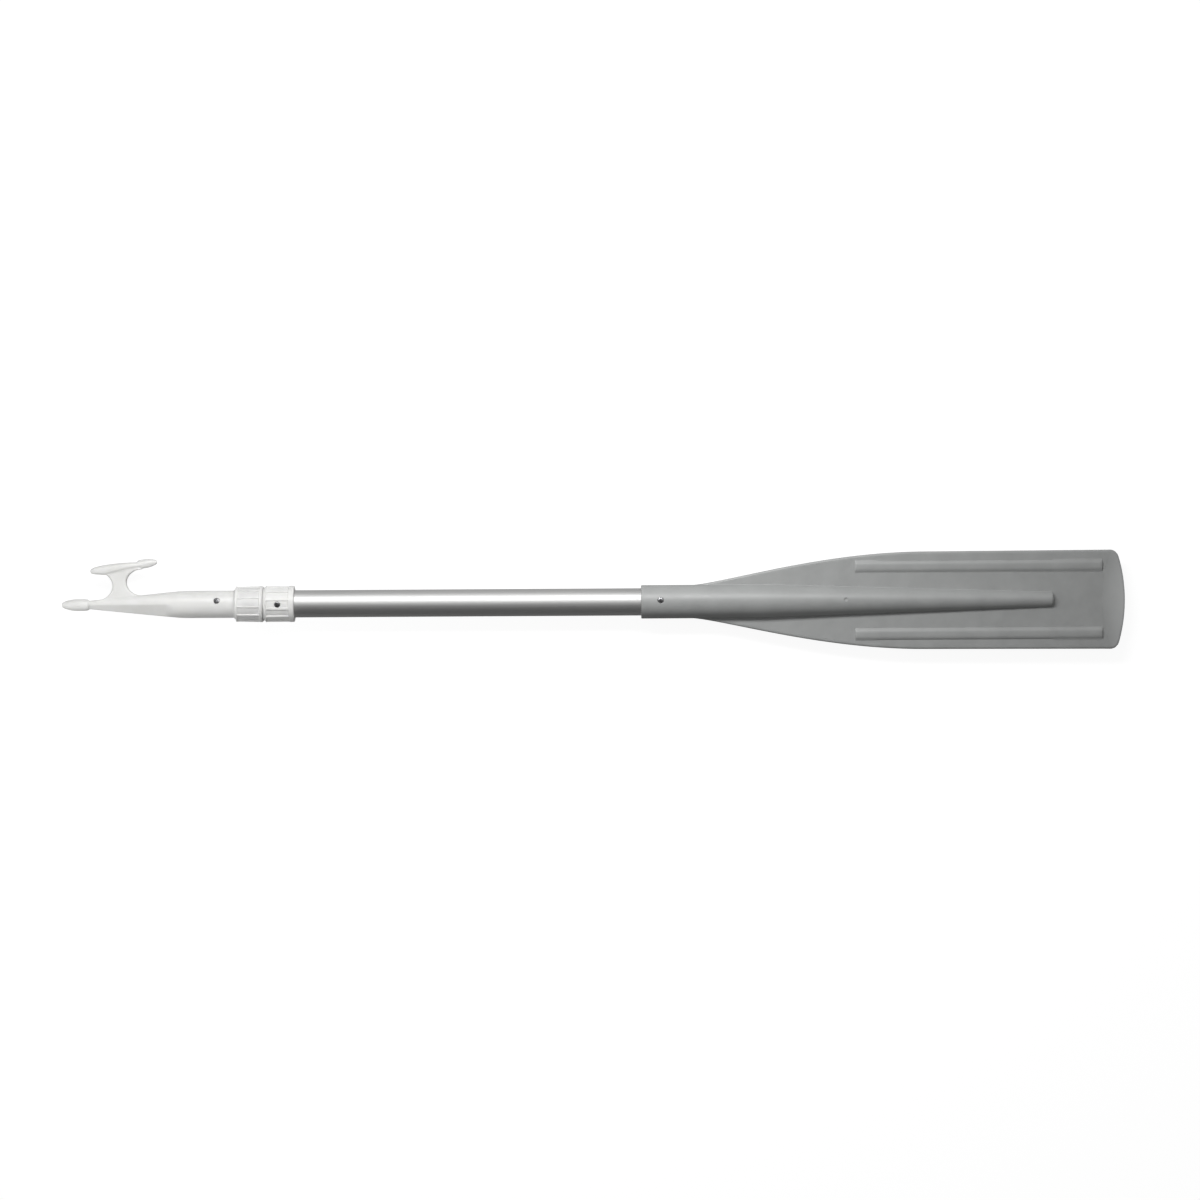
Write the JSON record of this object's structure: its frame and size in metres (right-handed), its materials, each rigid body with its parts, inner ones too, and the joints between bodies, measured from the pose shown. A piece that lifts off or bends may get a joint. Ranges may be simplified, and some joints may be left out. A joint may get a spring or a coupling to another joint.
{
  "type": "telescopic oar",
  "caption": "Telescopic oar: a flat ribbed blade on an aluminium tube, and a boat hook on an inner tube that slides and turns in it, held by a screw-down clamp.",
  "frame": {"origin": "centre of the bounding box in plan, at its base: under the oar's axis, half-way between the hook's tip and the blade's tip when the oar is closed", "axes": "+X along the shaft towards the blade's tip, +Y across it in the blade's plane, towards the horn of the boat hook, +Z square to the blade's face"},
  "size_m": [1.17, 0.1092, 0.0398],
  "materials": {
    "white_nylon": "moulded, satin",
    "grey_plastic": "moulded, fine grain",
    "satin_aluminium": "satin anodised",
    "stainless_steel": "bright rolled",
    "natural_acetal": "turned, smooth",
    "black_rubber": "moulded, matt",
    "closed_cell_foam": "cut foam"
  },
  "bodies": {
    "paddle": {"outer_tube": "satin_aluminium", "blade": "grey_plastic", "outer_tube_plug": "black_rubber", "clamp_collar": "white_nylon", "collar_screw": "stainless_steel", "blade_screw": "stainless_steel"},
    "clamp": {"collet": "natural_acetal", "thrust_washer": "stainless_steel"},
    "nut": {"lock_nut": "white_nylon"},
    "slider": {"guide_bush": "natural_acetal", "friction_ring": "black_rubber"},
    "boat_hook": {"inner_tube": "satin_aluminium", "inner_tube_seal": "closed_cell_foam", "tail_plug": "natural_acetal", "tail_washer": "stainless_steel", "tail_screw": "stainless_steel", "hook_head": "white_nylon", "hook_screw": "stainless_steel"}
  },
  "joints": [
    {"name": "clamp_travel", "type": "slide", "parent": "paddle", "child": "clamp", "axis": [-1, 0, 0], "range_m": [0, 0.002]},
    {"name": "nut_turn", "type": "hinge", "parent": "clamp", "child": "nut", "pos_m": [-0.3866, 0, 0.0199], "axis": [-1, 0, 0], "range_deg": [0, 180]},
    {"name": "tube_slide", "type": "slide", "parent": "paddle", "child": "slider", "axis": [-1, 0, 0], "range_m": [0, 0.48]},
    {"name": "tube_turn", "type": "hinge", "parent": "slider", "child": "boat_hook", "pos_m": [0.1791, 0, 0.0199], "axis": [-1, 0, 0], "continuous": true}
  ],
  "couplings": [
    {"joint": "clamp_travel", "follows": "nut_turn", "m_per_rad": 0.00063662}
  ]
}
